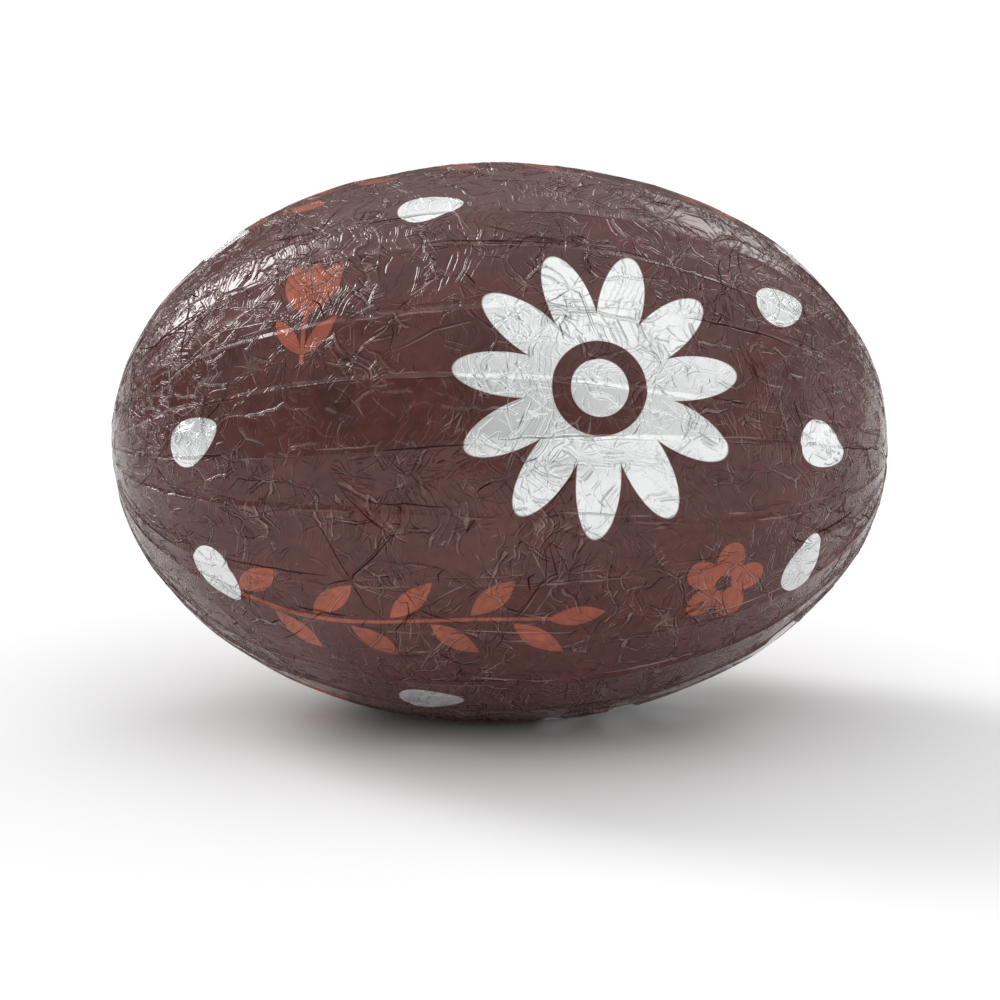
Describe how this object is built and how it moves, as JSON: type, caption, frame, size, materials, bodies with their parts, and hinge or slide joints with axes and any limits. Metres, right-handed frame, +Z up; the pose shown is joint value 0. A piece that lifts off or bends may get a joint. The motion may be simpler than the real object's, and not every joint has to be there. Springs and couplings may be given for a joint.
{
  "type": "foil-wrapped chocolate egg",
  "caption": "Oval chocolate egg wrapped in closely pressed printed foil, lying on its side, to fill a bowl, basket or gift bag.",
  "frame": {"origin": "on the resting face, under the middle of the egg", "axes": "+X along the egg's long axis, +Z up from the surface that it lies on, -Y towards the side that the picture shows"},
  "size_m": [0.035, 0.0252, 0.025],
  "materials": {
    "printed_foil": "thin aluminium foil with a glossy brown lacquer, bare silver and copper print, finely creased"
  },
  "bodies": {
    "root": {"wrapped_egg": "printed_foil"}
  },
  "joints": []
}
